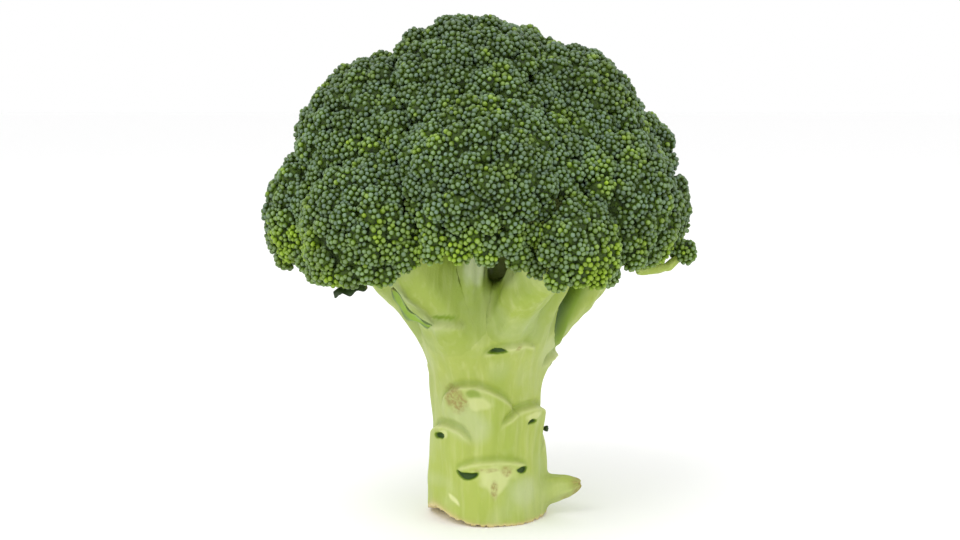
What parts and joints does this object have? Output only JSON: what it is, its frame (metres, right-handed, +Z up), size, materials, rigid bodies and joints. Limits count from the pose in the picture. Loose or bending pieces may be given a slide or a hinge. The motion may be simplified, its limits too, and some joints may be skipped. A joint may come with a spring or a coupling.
{
  "type": "broccoli head",
  "caption": "A cut head of broccoli standing on the flat end of its thick stalk, with a domed crown of dark green florets on pale branching stems.",
  "frame": {"origin": "The centre of the flat cut end of the stalk, at the foot of the head.", "axes": "+Z runs up the stalk to the top of the crown, -Y is the front, and +X is the right side seen from the front."},
  "size_m": [0.1572, 0.1418, 0.1834],
  "materials": {
    "bud_skin": "rough dark blue-green flower buds",
    "stem_skin": "smooth pale yellow-green stalk skin with a slight waxy sheen",
    "leaf_skin": "thin matt green leaf"
  },
  "bodies": {
    "root": {"crotch_leaf": "leaf_skin", "head_back": "bud_skin", "head_back_left": "bud_skin", "head_back_right": "bud_skin", "head_front_centre": "bud_skin", "head_front_left": "bud_skin", "head_front_low": "bud_skin", "head_front_right": "bud_skin", "head_left": "bud_skin", "head_right": "bud_skin", "head_top_back": "bud_skin", "head_top_front": "bud_skin", "head_upper_back_left": "bud_skin", "head_upper_back_right": "bud_skin", "head_upper_far_right": "bud_skin", "head_upper_left": "bud_skin", "head_upper_right": "bud_skin", "leaf_stub": "stem_skin", "rim_leaf": "leaf_skin", "side_bud": "leaf_skin", "sprig_head": "bud_skin", "sprig_stem": "stem_skin", "stalk": "stem_skin", "stem_back": "stem_skin", "stem_back_left": "stem_skin", "stem_back_right": "stem_skin", "stem_front_centre": "stem_skin", "stem_front_left": "stem_skin", "stem_front_low": "stem_skin", "stem_front_right": "stem_skin", "stem_left": "stem_skin", "stem_right": "stem_skin", "stem_top_back": "stem_skin", "stem_top_front": "stem_skin", "stem_upper_back_left": "stem_skin", "stem_upper_back_right": "stem_skin", "stem_upper_far_right": "stem_skin", "stem_upper_left": "stem_skin", "stem_upper_right": "stem_skin"}
  },
  "joints": []
}
